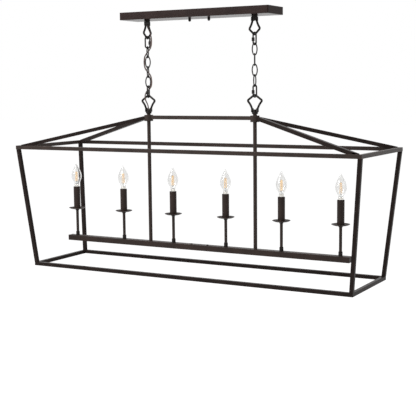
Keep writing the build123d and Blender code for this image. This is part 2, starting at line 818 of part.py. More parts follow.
# ---------------------------------------------------------------- candles
def build_candles():
    """Six candle stands on the bar: coupling, stem, nut, dish, sleeve and socket."""
    with BuildPart() as stem_couplings:
        with BuildSketch(Plane.XY.offset(bar_top)):
            with Locations(*candle_places):
                Circle(coupling_radius)
        extrude(amount=coupling_height)
        fillet(stem_couplings.edges().filter_by(GeomType.CIRCLE), edge_break)
        with BuildSketch(Plane.XY.offset(bar_top)):
            with Locations(*candle_places):
                Circle(stem_radius + fit_gap)
        extrude(amount=coupling_height, mode=Mode.SUBTRACT)
    save(stem_couplings.part, "stem_couplings")

    with BuildPart() as stems:
        with BuildSketch(Plane.XY.offset(bar_top - stem_past_bar)):
            with Locations(*candle_places):
                Circle(stem_radius)
                Circle(stem_bore, mode=Mode.SUBTRACT)
        extrude(amount=stem_top - bar_top + stem_past_bar)
    save(stems.part, "candle_stems")

    with BuildPart() as dish_nuts:
        with BuildSketch(Plane.XY.offset(dish_z - dish_nut_height)):
            with Locations(*candle_places):
                Circle(dish_nut_radius)
        extrude(amount=dish_nut_height)
        fillet(dish_nuts.edges().filter_by(GeomType.CIRCLE), edge_break)
        with BuildSketch(Plane.XY.offset(dish_z - dish_nut_height)):
            with Locations(*candle_places):
                Circle(stem_radius + fit_gap)
        extrude(amount=dish_nut_height, mode=Mode.SUBTRACT)
    save(dish_nuts.part, "dish_nuts")

    hole = stem_radius + fit_gap
    rim_x = dish_radius - dish_wall / 2
    rim_z = dish_z + dish_rise
    with BuildPart() as dish:
        with BuildSketch(Plane.XZ):
            with BuildLine():
                low = TangentArc((dish_seat_radius, dish_z), (rim_x, rim_z), tangent=(1, 0))
                high = TangentArc(
                    (dish_seat_radius, dish_z + dish_wall),
                    (rim_x, rim_z + dish_wall),
                    tangent=(1, 0),
                )
                ThreePointArc(low @ 1, (dish_radius, rim_z + dish_wall / 2), high @ 1)
                Line(high @ 0, (hole, dish_z + dish_wall))
                Line((hole, dish_z + dish_wall), (hole, dish_z))
                Line((hole, dish_z), low @ 0)
            make_face()
        revolve(axis=Axis.Z)
    with BuildPart() as candle_dishes:
        with Locations(*candle_places):
            add(dish.part)
    save(candle_dishes.part, "candle_dishes")

    with BuildPart() as candle_sleeves:
        with BuildSketch(Plane.XY.offset(sleeve_z)):
            with Locations(*candle_places):
                Circle(sleeve_radius)
                Circle(sleeve_radius - sleeve_wall, mode=Mode.SUBTRACT)
        extrude(amount=sleeve_height)
    save(candle_sleeves.part, "candle_sleeves")

    with BuildPart() as sockets:
        with BuildSketch(Plane.XY.offset(socket_z)):
            with Locations(*candle_places):
                Circle(socket_radius)
        extrude(amount=socket_height)
        with BuildSketch(Plane.XY.offset(socket_z)):
            with Locations(*candle_places):
                Circle(stem_radius + fit_gap)
        extrude(amount=stem_in_socket, mode=Mode.SUBTRACT)
        with BuildSketch(Plane.XY.offset(socket_top)):
            with Locations(*candle_places):
                Circle(socket_bore)
        extrude(amount=-socket_bore_depth, mode=Mode.SUBTRACT)
    save(sockets.part, "sockets")


# ---------------------------------------------------------------- bulbs
def glass_outline(inset):
    """The arcs from the bulb's neck up to its tip, moved in by the inset."""
    ball = (bulb_tip_radius**2 + bulb_tip**2) / (2 * bulb_tip)
    centre_z = bulb_height - ball
    rise = atan2(ball - bulb_tip, bulb_tip_radius)
    ball -= inset
    places = [
        (bulb_neck_radius - inset, 0),
        (bulb_flare_radius - inset, bulb_flare),
        (bulb_radius - inset, bulb_belly),
        (bulb_shoulder_radius - inset, bulb_height - bulb_shoulder),
        (ball * cos(rise), centre_z + ball * sin(rise)),
    ]
    arcs = []
    heading = (0, 1)
    for start, end in zip(places, places[1:]):
        arcs.append(TangentArc(start, end, tangent=heading))
        heading = ((arcs[-1] % 1).X, (arcs[-1] % 1).Y)
    arcs.append(CenterArc((0, centre_z), ball, degrees(rise), 90 - degrees(rise)))
    return arcs


def build_bulbs():
    """Six clear candle bulbs: a glass, and a base with its filaments on a mount."""
    with BuildPart() as glass:
        with BuildSketch(Plane.XZ):
            with BuildLine():
                outer = glass_outline(0)
                inner = glass_outline(bulb_wall)
                Line(outer[0] @ 0, inner[0] @ 0)
                Line(outer[-1] @ 1, inner[-1] @ 1)
            make_face()
        revolve(axis=Axis.Z)

    with BuildPart() as base:
        with BuildSketch(Plane.XY):
            Circle(collar_radius)
        extrude(amount=-collar_height)
        fillet(base.edges().filter_by(GeomType.CIRCLE), edge_break)
        with BuildSketch(Plane.XY.offset(-collar_height)):
            Circle(shell_radius)
        extrude(amount=-shell_length)
        with BuildSketch(Plane.XZ):
            for i in range(shell_thread_count):
                groove_z = -collar_height - (i + 1) * shell_thread_pitch
                with Locations((shell_radius + shell_thread / 2, groove_z)):
                    Circle(shell_thread)
        revolve(axis=Axis.Z, mode=Mode.SUBTRACT)
        with BuildSketch(Plane.XY.offset(-collar_height - shell_length)):
            Circle(contact_radius)
        extrude(amount=-contact_height)

    disc_z = mount_height
    with BuildPart() as stack:
        with BuildSketch(Plane.XY.offset(fit_gap)):
            Circle(mount_radius)
        extrude(amount=mount_height)
        for level in (disc_z, disc_z + mount_disc_thick + filament_length):
            with BuildSketch(Plane.XY.offset(level)):
                Circle(mount_disc)
            extrude(amount=mount_disc_thick)
        with BuildSketch(Plane.XY.offset(disc_z + mount_disc_thick)):
            Circle(filament_post)
            with PolarLocations(filament_circle, filament_count):
                Circle(filament_radius)
        extrude(amount=filament_length)

    for i, x in enumerate(candle_xs):
        place = Location((x, 0, glass_z))
        save(glass.part.moved(place), f"bulb_{i + 1}_glass")
        with BuildPart() as bulb_base:
            add(base.part.moved(place))
            add(stack.part.moved(place))
        save(bulb_base.part, f"bulb_{i + 1}_base")


if __name__ == "__main__":
    build_canopy()
    build_cap_nuts()
    build_canopy_wiring()
    build_loops()
    build_chain("left", -hang_x, left_twist, left_nut_sides)
    build_chain("right", hang_x, right_twist, right_nut_sides)
    build_cords()
    build_cage()
    build_hubs()
    build_light_bar()
    build_harness()
    build_candles()
    build_bulbs()
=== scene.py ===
"""Linear island pendant: a bronze cage with six candle lamps, dressed for the camera.

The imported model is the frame: every node but the bulbs and the cords keeps its own
shape and gets its finish here. The six bulbs and the two cords in the left chain are
modelled here. Metres, +Z up, the ceiling at z = 0.
"""
from __future__ import annotations

import logging
import math
from dataclasses import dataclass, field
from enum import Enum
from typing import Protocol, Sequence

import bpy
from mathutils import Matrix, Vector

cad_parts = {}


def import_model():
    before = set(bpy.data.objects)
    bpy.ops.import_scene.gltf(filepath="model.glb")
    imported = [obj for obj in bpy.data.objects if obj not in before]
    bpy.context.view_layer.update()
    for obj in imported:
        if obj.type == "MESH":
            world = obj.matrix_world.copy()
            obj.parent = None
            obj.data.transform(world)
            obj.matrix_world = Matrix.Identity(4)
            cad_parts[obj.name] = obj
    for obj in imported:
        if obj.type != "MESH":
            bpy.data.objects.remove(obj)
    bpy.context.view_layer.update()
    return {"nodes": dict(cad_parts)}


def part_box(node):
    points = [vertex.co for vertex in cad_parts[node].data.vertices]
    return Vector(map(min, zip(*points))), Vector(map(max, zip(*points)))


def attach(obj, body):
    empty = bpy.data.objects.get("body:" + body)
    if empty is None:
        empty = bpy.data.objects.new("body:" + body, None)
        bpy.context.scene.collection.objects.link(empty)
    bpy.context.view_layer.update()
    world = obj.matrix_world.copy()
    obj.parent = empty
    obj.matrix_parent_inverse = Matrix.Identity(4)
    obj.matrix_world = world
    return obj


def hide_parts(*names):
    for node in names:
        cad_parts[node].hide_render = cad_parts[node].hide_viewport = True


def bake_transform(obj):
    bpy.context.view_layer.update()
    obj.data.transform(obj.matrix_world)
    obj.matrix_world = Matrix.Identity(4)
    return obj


log = logging.getLogger("pendant")

Colour = tuple[float, float, float]
Point = tuple[float, float, float]
Profile = tuple[tuple[float, float], ...]
Route = Sequence[Point]

MM = 0.001
WHITE = (1, 1, 1, 1)
NOISE_MIDDLE = 0.5
FINE_DETAIL = 3.0
CLOUD_DETAIL = 4.0
EDGE_SAMPLES = 4
EDGE_TURN = 0.86
WELD_DISTANCE = 0.000002


# ------------------------------------------------------------------ node trees
class Channel(Enum):
    """The input of the principled shader that a finish drives."""

    COLOUR = "Base Color"
    ROUGHNESS = "Roughness"
    NORMAL = "Normal"


class Graph:
    """A material's node tree, with short ways to add and join its nodes."""

    def __init__(self, name: str) -> None:
        """Starts a material.

        Args:
            name: The material's name.
        """
        self.material = bpy.data.materials.new(name)
        self.material.use_nodes = True
        self.tree = self.material.node_tree
        self.shader = self.tree.nodes["Principled BSDF"]
        self.place = self.add("ShaderNodeTexCoord").outputs["Object"]

    def add(self, kind: str, **settings: object) -> bpy.types.Node:
        """Adds one node.

        Args:
            kind: The node's type.
            settings: The properties to set on it.

        Returns:
            The new node.
        """
        node = self.tree.nodes.new(kind)
        for key, value in settings.items():
            setattr(node, key, value)
        return node

    def link(self, source: bpy.types.NodeSocket, target: bpy.types.NodeSocket) -> None:
        """Joins an output to an input."""
        self.tree.links.new(source, target)

    def drive(self, source: bpy.types.NodeSocket, channel: Channel) -> None:
        """Joins an output to one of the shader's inputs."""
        self.link(source, self.shader.inputs[channel.value])

    def noise(
        self, per_metre: float, detail: float = 2.0, stretch: Point = (1, 1, 1)
    ) -> bpy.types.NodeSocket:
        """Noise on the object's own coordinates.

        Args:
            per_metre: How many features there are in a metre.
            detail: The number of octaves.
            stretch: The scale along each axis.

        Returns:
            The noise's value output.
        """
        mapping = self.add("ShaderNodeMapping")
        mapping.inputs["Scale"].default_value = stretch
        self.link(self.place, mapping.inputs["Vector"])
        node = self.add("ShaderNodeTexNoise")
        node.inputs["Scale"].default_value = per_metre
        node.inputs["Detail"].default_value = detail
        self.link(mapping.outputs["Vector"], node.inputs["Vector"])
        return node.outputs["Fac"]

    def ramp(
        self, value: bpy.types.NodeSocket, stops: Sequence[tuple[float, Colour]]
    ) -> bpy.types.NodeSocket:
        """Colours a value.

        Args:
            value: The output to colour.
            stops: A position and a colour for each stop, in order.

        Returns:
            The ramp's colour output.
        """
        node = self.add("ShaderNodeValToRGB")
        elements = node.color_ramp.elements
        while len(elements) < len(stops):
            elements.new(NOISE_MIDDLE)
        for element, (position, colour) in zip(elements, stops):
            element.position = position
            element.color = (*colour, 1)
        self.link(value, node.inputs["Fac"])
        return node.outputs["Color"]

    def span(
        self, value: bpy.types.NodeSocket, low: float, high: float, window: float = 0.25
    ) -> bpy.types.NodeSocket:
        """Moves the middle of a noise's range to a span of numbers.

        Args:
            value: The noise.
            low: What the lower end of its range becomes.
            high: What the upper end becomes.
            window: How far each end lies from the noise's middle.

        Returns:
            The output with the moved value.
        """
        node = self.add("ShaderNodeMapRange")
        node.inputs["From Min"].default_value = NOISE_MIDDLE - window
        node.inputs["From Max"].default_value = NOISE_MIDDLE + window
        node.inputs["To Min"].default_value = low
        node.inputs["To Max"].default_value = high
        self.link(value, node.inputs["Value"])
        return node.outputs["Result"]

    def blend(
        self,
        amount: bpy.types.NodeSocket,
        first: bpy.types.NodeSocket,
        second: Colour,
    ) -> bpy.types.NodeSocket:
        """Mixes a fixed colour over another.

        Args:
            amount: 0 for the first colour alone, 1 for the second alone.
            first: The colour underneath.
            second: The colour on top.

        Returns:
            The output with the mixed colour.
        """
        node = self.add("ShaderNodeMix", data_type="RGBA")
        self.link(amount, node.inputs["Factor"])
        self.link(first, node.inputs["A"])
        node.inputs["B"].default_value = (*second, 1)
        return node.outputs["Result"]

    def edges(self, radius: float) -> bpy.types.NodeSocket:
        """Where the surface turns sharply.

        Args:
            radius: How far from an edge still counts as the edge, in metres.

        Returns:
            An output that is 1 on an edge and 0 on a face.
        """
        bevel = self.add("ShaderNodeBevel", samples=EDGE_SAMPLES)
        bevel.inputs["Radius"].default_value = radius
        flat = self.add("ShaderNodeNewGeometry")
        dot = self.add("ShaderNodeVectorMath", operation="DOT_PRODUCT")
        self.link(bevel.outputs["Normal"], dot.inputs[0])
        self.link(flat.outputs["Normal"], dot.inputs[1])
        node = self.add("ShaderNodeMapRange")
        node.inputs["From Min"].default_value = 1.0
        node.inputs["From Max"].default_value = EDGE_TURN
        self.link(dot.outputs["Value"], node.inputs["Value"])
        return node.outputs["Result"]

    def bump(self, height: bpy.types.NodeSocket, depth: float) -> None:
        """Raises the surface.

        Args:
            height: The height, from 0 to 1.
            depth: What a height of 1 stands for, in metres.
        """
        node = self.add("ShaderNodeBump")
        node.inputs["Strength"].default_value = 1.0
        node.inputs["Distance"].default_value = depth
        self.link(height, node.inputs["Height"])
        self.drive(node.outputs["Normal"], Channel.NORMAL)

    def constants(self, **values: float) -> None:
        """Sets numbers on the shader's own sockets, spaces written as underscores."""
        for key, value in values.items():
            self.shader.inputs[key.replace("_", " ")].default_value = value


# ------------------------------------------------------------------ finishes
class Finish(Protocol):
    """What every finish has. Scales are in features per metre, depths in metres."""

    name: str

    def build(self) -> bpy.types.Material:
        """Makes the material."""


@dataclass(frozen=True)
class BronzeFinish:
    """Oil-rubbed bronze: a dark painted metal with a soft sheen and faint mottling."""

    name: str
    dark: Colour = (0.028, 0.0205, 0.0175)
    mid: Colour = (0.034, 0.0240, 0.0205)
    warm: Colour = (0.041, 0.0280, 0.0235)
    rubbed: Colour = (0.075, 0.052, 0.043)
    stops: tuple[float, float, float] = (0.33, 0.5, 0.68)
    mottle: float = 34.0
    grain: float = 900.0
    grain_depth: float = 0.00002
    rough: tuple[float, float] = (0.34, 0.46)
    sheen: float = 260.0
    specular: float = 0.14
    index: float = 1.5
    edge: float = 0.0006
    wear: float = 120.0
    most_wear: float = 0.8

    def build(self) -> bpy.types.Material:
        """Makes the material.

        Returns:
            Mottled paint that is rubbed paler on its edges.
        """
        graph = Graph(self.name)
        cloud = graph.noise(self.mottle, CLOUD_DETAIL)
        tones = tuple(zip(self.stops, (self.dark, self.mid, self.warm)))
        paint = graph.ramp(cloud, tones)
        worn = graph.add("ShaderNodeMath", operation="MULTIPLY")
        graph.link(graph.edges(self.edge), worn.inputs[0])
        patches = graph.noise(self.wear, FINE_DETAIL)
        graph.link(graph.span(patches, 0.0, self.most_wear), worn.inputs[1])
        graph.drive(graph.blend(worn.outputs["Value"], paint, self.rubbed), Channel.COLOUR)
        smears = graph.noise(self.sheen, FINE_DETAIL)
        graph.drive(graph.span(smears, *self.rough), Channel.ROUGHNESS)
        graph.bump(graph.noise(self.grain), self.grain_depth)
        graph.constants(Specular_IOR_Level=self.specular, IOR=self.index)
        return graph.material


@dataclass(frozen=True)
class SteelFinish:
    """Bare or plated steel that is hidden in the canopy, the bar and the candles."""

    name: str
    pale: Colour = (0.62, 0.61, 0.58)
    dull: Colour = (0.42, 0.42, 0.40)
    spangle: float = 160.0
    rough: tuple[float, float] = (0.28, 0.46)
    stops: tuple[float, float] = (0.35, 0.65)
    sheen: float = 400.0
    grain: float = 1300.0
    grain_depth: float = 0.00001

    def build(self) -> bpy.types.Material:
        """Makes the material.

        Returns:
            Spangled metal.
        """
        graph = Graph(self.name)
        cloud = graph.noise(self.spangle, FINE_DETAIL)
        tones = tuple(zip(self.stops, (self.dull, self.pale)))
        graph.drive(graph.ramp(cloud, tones), Channel.COLOUR)
        graph.drive(graph.span(graph.noise(self.sheen), *self.rough), Channel.ROUGHNESS)
        graph.bump(graph.noise(self.grain), self.grain_depth)
        graph.constants(Metallic=1.0)
        return graph.material


@dataclass(frozen=True)
class PlasticFinish:
    """Moulded plastic or a lacquered wire: one colour with a faint cloud in it."""

    name: str
    colour: Colour
    shade: Colour
    rough: tuple[float, float] = (0.38, 0.52)
    stops: tuple[float, float] = (0.35, 0.65)
    cloud: float = 90.0
    sheen: float = 350.0
    grain: float = 1500.0
    grain_depth: float = 0.00001
    coat: float = 0.0

    def build(self) -> bpy.types.Material:
        """Makes the material.

        Returns:
            Clouded plastic, under a clear coat where it has one.
        """
        graph = Graph(self.name)
        cloud = graph.noise(self.cloud, FINE_DETAIL)
        tones = tuple(zip(self.stops, (self.shade, self.colour)))
        graph.drive(graph.ramp(cloud, tones), Channel.COLOUR)
        graph.drive(graph.span(graph.noise(self.sheen), *self.rough), Channel.ROUGHNESS)
        graph.bump(graph.noise(self.grain), self.grain_depth)
        graph.constants(Coat_Weight=self.coat)
        return graph.material


@dataclass(frozen=True)
class StrandFinish:
    """Bare stranded copper: the wire's twist shows as fine slanting lines."""

    name: str
    bright: Colour = (0.46, 0.32, 0.24)
    dull: Colour = (0.25, 0.175, 0.135)
    stops: tuple[float, float] = (0.2, 0.7)
    strands: float = 520.0
    strand_depth: float = 0.00006
    wander: float = 1.2
    sheen: float = 300.0
    rough: tuple[float, float] = (0.34, 0.5)
    metallic: float = 0.75

    def build(self) -> bpy.types.Material:
        """Makes the material.

        Returns:
            Copper with slanting bands of light and dull strands.
        """
        graph = Graph(self.name)
        wave = graph.add("ShaderNodeTexWave", bands_direction="DIAGONAL")
        wave.inputs["Scale"].default_value = self.strands
        wave.inputs["Distortion"].default_value = self.wander
        graph.link(graph.place, wave.inputs["Vector"])
        tones = tuple(zip(self.stops, (self.dull, self.bright)))
        graph.drive(graph.ramp(wave.outputs["Fac"], tones), Channel.COLOUR)
        graph.drive(graph.span(graph.noise(self.sheen), *self.rough), Channel.ROUGHNESS)
        graph.bump(wave.outputs["Fac"], self.strand_depth)
        graph.constants(Metallic=self.metallic)
        return graph.material


@dataclass(frozen=True)
class GlassFinish:
    """Clear glass with a trace of grey, and faint ripples from blowing."""

    name: str
    tint: Colour = (0.862, 0.860, 0.854)
    lift: float = 0.02
    stops: tuple[float, float] = (0.4, 0.6)
    roughness: float = 0.0
    ripple: float = 60.0
    ripple_detail: float = 1.0
    ripple_depth: float = 0.00001
    index: float = 1.46

    def build(self) -> bpy.types.Material:
        """Makes the material.

        Returns:
            Glass whose tint pales a little in the ripples.
        """
        graph = Graph(self.name)
        cloud = graph.noise(self.ripple, self.ripple_detail)
        pale = tuple(min(1.0, part + self.lift) for part in self.tint)
        tones = tuple(zip(self.stops, (self.tint, pale)))
        graph.drive(graph.ramp(cloud, tones), Channel.COLOUR)
        graph.bump(cloud, self.ripple_depth)
        graph.constants(Transmission_Weight=1.0, Roughness=self.roughness, IOR=self.index)
        return graph.material


@dataclass(frozen=True)
class PhosphorFinish:
    """The amber coat on a filament, a little uneven along its length."""

    name: str
    pale: Colour = (1.0, 0.72, 0.33)
    deep: Colour = (0.95, 0.55, 0.17)
    stops: tuple[float, float] = (0.3, 0.65)
    beads: float = 420.0
    bead_stretch: Point = (1, 1, 0.6)
    bead_depth: float = 0.00008
    sheen: float = 700.0
    rough: tuple[float, float] = (0.4, 0.6)
    glow: float = 0.25

    def build(self) -> bpy.types.Material:
        """Makes the material.

        Returns:
            Beaded amber that gives a faint light of its own.
        """
        graph = Graph(self.name)
        beads = graph.noise(self.beads, stretch=self.bead_stretch)
        tones = tuple(zip(self.stops, (self.deep, self.pale)))
        graph.drive(graph.ramp(beads, tones), Channel.COLOUR)
        graph.drive(graph.span(graph.noise(self.sheen), *self.rough), Channel.ROUGHNESS)
        graph.bump(beads, self.bead_depth)
        graph.shader.inputs["Emission Color"].default_value = (*self.pale, 1)
        graph.constants(Emission_Strength=self.glow)
        return graph.material


CANOPY_BRONZE = BronzeFinish(
    "canopy_bronze",
    dark=(0.0205, 0.0122, 0.0112),
    mid=(0.0245, 0.0146, 0.0132),
    warm=(0.0295, 0.0172, 0.0154),
    mottle=22.0,
    grain=1300.0,
    rough=(0.18, 0.26),
    specular=0.04,
)
SHEET_BRONZE = BronzeFinish(
    "sheet_bronze",
    dark=(0.0255, 0.0180, 0.0155),
    mid=(0.0310, 0.0212, 0.0182),
    warm=(0.0375, 0.0250, 0.0210),
    mottle=22.0,
    grain=1300.0,
    specular=0.12,
)
TUBE_BRONZE = BronzeFinish("tube_bronze")
# Painted shade: a darker copy of the tube bronze, rubbed edges darker too, for the bottom rails,
# corner posts and hip bars, which are the same tube as the top rails but fall in shade.
PAINTED_SHADE_BRONZE = BronzeFinish(
    "painted_shade_bronze",
    dark=(0.0175, 0.0132, 0.0118),
    mid=(0.0220, 0.0162, 0.0146),
    warm=(0.0270, 0.0194, 0.0172),
    rubbed=(0.048, 0.034, 0.028),
    rough=(0.20, 0.30),
    specular=0.03,
)
CAST_BRONZE = BronzeFinish(
    "cast_bronze",
    dark=(0.0105, 0.0088, 0.0080),
    mid=(0.0135, 0.0110, 0.0100),
    warm=(0.0170, 0.0132, 0.0118),
    rubbed=(0.036, 0.027, 0.023),
    mottle=70.0,
    grain=520.0,
    grain_depth=0.00005,
)
WIRE_BRONZE = BronzeFinish(
    "wire_bronze",
    dark=(0.0095, 0.0080, 0.0074),
    mid=(0.0120, 0.0100, 0.0092),
    warm=(0.0155, 0.0122, 0.0110),
    rubbed=(0.034, 0.026, 0.022),
    mottle=90.0,
    specular=0.2,
    rough=(0.3, 0.44),
)
ZINC_STEEL = SteelFinish("zinc_steel")
NICKEL = SteelFinish("nickel_shell", (0.78, 0.76, 0.72), (0.66, 0.64, 0.60), 240.0, (0.12, 0.22))
SOLDER = SteelFinish("solder_contact", (0.6, 0.6, 0.6), (0.36, 0.36, 0.37), 700.0, (0.3, 0.5))
LEAD_WIRE = SteelFinish("filament_supports", (0.42, 0.38, 0.34), (0.2, 0.18, 0.17), 500.0)
SOCKET_BLACK = PlasticFinish("socket_black", (0.026, 0.025, 0.025), (0.017, 0.017, 0.017))
CORD_BROWN = PlasticFinish(
    "cord_brown", (0.092, 0.055, 0.048), (0.060, 0.037, 0.032), (0.32, 0.44), coat=0.15
)
GROUND_WIRE = StrandFinish("ground_strands")
SCREW_GREEN = PlasticFinish("screw_green", (0.05, 0.21, 0.08), (0.03, 0.13, 0.05), coat=0.4)
CONNECTOR_ORANGE = PlasticFinish("connector_orange", (0.66, 0.20, 0.03), (0.5, 0.14, 0.02))
WIRE_BLACK = PlasticFinish("wire_black", (0.03, 0.03, 0.03), (0.018, 0.018, 0.018))
CLEAR_GLASS = GlassFinish("clear_glass")
STEM_GLASS = GlassFinish("stem_glass", (0.86, 0.88, 0.88))
PHOSPHOR = PhosphorFinish("amber_phosphor")


class FinishShelf:
    """Builds each finish once and hands out its material."""

    def __init__(self) -> None:
        """Starts with no material made."""
        self.made: dict[str, bpy.types.Material] = {}

    def get(self, finish: Finish) -> bpy.types.Material:
        """The material of a finish, made the first time that it is asked for.

        Args:
            finish: The finish.

        Returns:
            Its material, the same one each time.
        """
        if finish.name not in self.made:
            self.made[finish.name] = finish.build()
        return self.made[finish.name]


# ------------------------------------------------------------------ modelling by hand
def to_object_mode() -> None:
    """Leaves edit mode and deselects every object."""
    if bpy.context.object and bpy.context.object.mode != "OBJECT":
        bpy.ops.object.mode_set(mode="OBJECT")
    bpy.ops.object.select_all(action="DESELECT")


def pick(piece: bpy.types.Object) -> None:
    """Makes one object the only one selected, and the active one.

    Args:
        piece: The object.
    """
    to_object_mode()
    piece.select_set(True)
    bpy.context.view_layer.objects.active = piece


def edit(piece: bpy.types.Object) -> None:
    """Opens one object in edit mode with nothing selected.

    Args:
        piece: The object.
    """
    pick(piece)
    bpy.ops.object.mode_set(mode="EDIT")
    bpy.ops.mesh.select_all(action="DESELECT")


def settle(piece: bpy.types.Object, name: str, smooth: float = 40.0) -> bpy.types.Object:
    """Names a finished piece, points its faces out and puts its place in its mesh.

    Args:
        piece: The object, in either mode.
        name: Its new name.
        smooth: Edges sharper than this many degrees stay sharp.

    Returns:
        The same object.
    """
    edit(piece)
    bpy.ops.mesh.select_all(action="SELECT")
    bpy.ops.mesh.remove_doubles(threshold=WELD_DISTANCE)
    bpy.ops.mesh.normals_make_consistent(inside=False)
    pick(piece)
    bpy.ops.object.transform_apply(location=True, rotation=True, scale=True)
    bpy.ops.object.shade_smooth_by_angle(angle=math.radians(smooth))
    piece.name = piece.data.name = name
    return piece


def apply_modifiers(piece: bpy.types.Object) -> None:
    """Applies every modifier of one object, in order.

    Args:
        piece: The object.
    """
    pick(piece)
    for modifier in list(piece.modifiers):
        bpy.ops.object.modifier_apply(modifier=modifier.name)


def turn_rings(
    rings: Sequence[tuple[float, float]], sides: int, close_top: bool, close_base: bool
) -> bpy.types.Object:
    """Extrudes a circle ring by ring up the Z axis, as a turner shapes a piece.

    Args:
        rings: The radius and height of each ring, from the lowest, in metres.
        sides: The number of sides of each ring.
        close_top: Whether the last ring is filled.
        close_base: Whether the first ring is filled.

    Returns:
        The new object, standing on the origin.
    """
    to_object_mode()
    radius, level = rings[0]
    bpy.ops.mesh.primitive_circle_add(
        vertices=sides, radius=radius, fill_type="NOTHING", location=(0, 0, level)
    )
    piece = bpy.context.object
    bpy.ops.object.mode_set(mode="EDIT")
    bpy.ops.mesh.select_all(action="SELECT")
    if close_base:
        bpy.ops.mesh.edge_face_add()
        bpy.ops.mesh.select_all(action="SELECT")
    for next_radius, next_level in rings[1:]:
        bpy.ops.mesh.extrude_edges_move(
            TRANSFORM_OT_translate={"value": (0, 0, next_level - level)}
        )
        share = next_radius / radius
        bpy.ops.transform.resize(
            value=(share, share, 1), center_override=(0, 0, next_level)
        )
        radius, level = next_radius, next_level
    if close_top:
        bpy.ops.mesh.edge_face_add()
    return piece


def copy_to(
    piece: bpy.types.Object, name: str, shift: Vector, spin: float
) -> bpy.types.Object:
    """A copy with its own mesh, turned about Z and moved, its place in the mesh.

    Args:
        piece: The object to copy.
        name: The copy's name.
        shift: How far it moves.
        spin: How far it turns first, in radians.

    Returns:
        The copy.
    """
    copy = piece.copy()
    copy.data = piece.data.copy()
    copy.name = copy.data.name = name
    copy.data.transform(Matrix.Translation(shift) @ Matrix.Rotation(spin, 4, "Z"))
    bpy.context.scene.collection.objects.link(copy)
    return copy


def join(pieces: Sequence[bpy.types.Object]) -> bpy.types.Object:
    """Joins several objects into the first.

    Args:
        pieces: The objects.

    Returns:
        The first object, which now holds them all.
    """
    to_object_mode()
    for piece in pieces:
        piece.select_set(True)
    bpy.context.view_layer.objects.active = pieces[0]
    bpy.ops.object.join()
    return bpy.context.object


def paint(piece: bpy.types.Object, material: bpy.types.Material) -> None:
    """Gives a piece one material in every slot.

    Args:
        piece: The object.
        material: Its material.
    """
    if not piece.material_slots:
        piece.data.materials.append(material)
    for slot in piece.material_slots:
        slot.material = material


# ------------------------------------------------------------------ metal sub-assemblies
@dataclass
class MetalWork:
    """Nodes of the frame that keep their shape and take a finish."""

    title: str
    finishes: dict[str, Finish]

    def dress(self, nodes: dict[str, bpy.types.Object], shelf: FinishShelf) -> None:
        """Paints each node.

        Args:
            nodes: The frame's nodes by name.
            shelf: Where the materials come from.
        """
        for name, finish in self.finishes.items():
            paint(nodes[name], shelf.get(finish))
            log.info("%s: %s in %s", self.title, name, finish.name)


def both(pattern: str, finish: Finish) -> dict[str, Finish]:
    """The left and right node of a pair, in one finish."""
    return {pattern.format(side): finish for side in ("left", "right")}


@dataclass
class Canopy(MetalWork):
    """The pan on the ceiling, its strap and screws, and the wiring inside it."""

    title: str = "canopy"
    finishes: dict[str, Finish] = field(
        default_factory=lambda: {
            "canopy_pan": CANOPY_BRONZE,
            "mounting_strap": ZINC_STEEL,
            "canopy_studs": ZINC_STEEL,
            "ground_screw": SCREW_GREEN,
            "canopy_leads": WIRE_BLACK,
            "wire_connectors": CONNECTOR_ORANGE,
            "upper_lock_nuts": ZINC_STEEL,
            **both("{}_cap_nut", CAST_BRONZE),
        }
    )


@dataclass
class Chains(MetalWork):
    """Two chains of six links between cast loops, each end link opened by its nut."""

    title: str = "chains"
    finishes: dict[str, Finish] = field(
        default_factory=lambda: {
            "upper_nipples": CAST_BRONZE,
            "lower_nipples": CAST_BRONZE,
            **both("upper_{}_loop", CAST_BRONZE),
            **both("lower_{}_loop", CAST_BRONZE),
            **both("{}_upper_quick_link", WIRE_BRONZE),
            **both("{}_lower_quick_link", WIRE_BRONZE),
            **both("{}_upper_sleeve_nut", WIRE_BRONZE),
            **both("{}_lower_sleeve_nut", WIRE_BRONZE),
            **both("{}_chain_links", WIRE_BRONZE),
        }
    )


@dataclass
class Cage(MetalWork):
    """The tapered cage of square tube, its hubs and the two rods to the bar."""

    title: str = "cage"
    finishes: dict[str, Finish] = field(
        default_factory=lambda: {
            "top_rails": TUBE_BRONZE,
            "bottom_rails": PAINTED_SHADE_BRONZE,
            # The bottom rails, corner posts and hip bars take the darker copy of the tube
            # bronze: painted shade.
            "corner_posts": PAINTED_SHADE_BRONZE,
            "ridge_bar": TUBE_BRONZE,
            "hip_bars": PAINTED_SHADE_BRONZE,
            "hanger_rods": TUBE_BRONZE,
            **both("{}_hub", TUBE_BRONZE),
        }
    )


@dataclass
class LightBar(MetalWork):
    """The channel that carries the candles, its cover, fixings and wiring."""

    title: str = "light bar"
    finishes: dict[str, Finish] = field(
        default_factory=lambda: {
            "light_bar": SHEET_BRONZE,
            "bar_cover": SHEET_BRONZE,
            "cover_screws": WIRE_BRONZE,
            "rod_nuts": ZINC_STEEL,
            "stem_nuts": ZINC_STEEL,
            "bar_harness": WIRE_BLACK,
        }
    )


@dataclass
class Candles(MetalWork):
    """Six candles: coupling, stem, dish, sleeve and the socket inside it."""

    title: str = "candles"
    finishes: dict[str, Finish] = field(
        default_factory=lambda: {
            "stem_couplings": CAST_BRONZE,
            "candle_stems": TUBE_BRONZE,
            "dish_nuts": CAST_BRONZE,
            "candle_dishes": SHEET_BRONZE,
            "candle_sleeves": SHEET_BRONZE,
            "sockets": SOCKET_BLACK,
        }
    )


